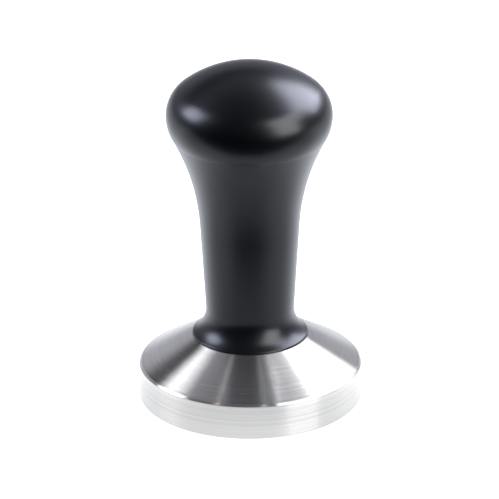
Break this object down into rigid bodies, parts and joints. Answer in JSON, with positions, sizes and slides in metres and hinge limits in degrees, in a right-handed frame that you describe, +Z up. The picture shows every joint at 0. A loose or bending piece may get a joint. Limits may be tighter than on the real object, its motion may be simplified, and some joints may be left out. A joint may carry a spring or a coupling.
{
  "type": "espresso tamper",
  "caption": "Hand tamper for ground coffee: round steel base with a conical top and flat face, under a black turned handle with a domed head, screwed on a stud.",
  "frame": {"origin": "centre of the base's flat tamping face", "axes": "+Z up along the axis of revolution, from the tamping face to the top of the handle's head; X and Y are free by symmetry"},
  "size_m": [0.058, 0.058, 0.091],
  "materials": {
    "stainless_steel": "fine turned stainless steel",
    "black_lacquered_wood": "smooth satin black lacquer over turned wood",
    "stud_steel": "plain rolled thread",
    "brass": "machined, knurled",
    "black_rubber": "matt nitrile rubber"
  },
  "bodies": {
    "base_unit": {"base": "stainless_steel", "stud": "stud_steel"},
    "seal_unit": {"seal_ring": "black_rubber"},
    "handle_unit": {"handle": "black_lacquered_wood", "threaded_insert": "brass"}
  },
  "joints": [
    {"name": "handle_rise", "type": "slide", "parent": "base_unit", "child": "seal_unit", "axis": [0, 0, 1], "range_m": [0, 0.0125]},
    {"name": "handle_unscrew", "type": "hinge", "parent": "seal_unit", "child": "handle_unit", "pos_m": [0, 0, 0.0173], "axis": [0, 0, 1], "range_deg": [0, 3600]}
  ],
  "couplings": [
    {"joint": "handle_rise", "follows": "handle_unscrew", "m_per_rad": 0.00019894}
  ]
}
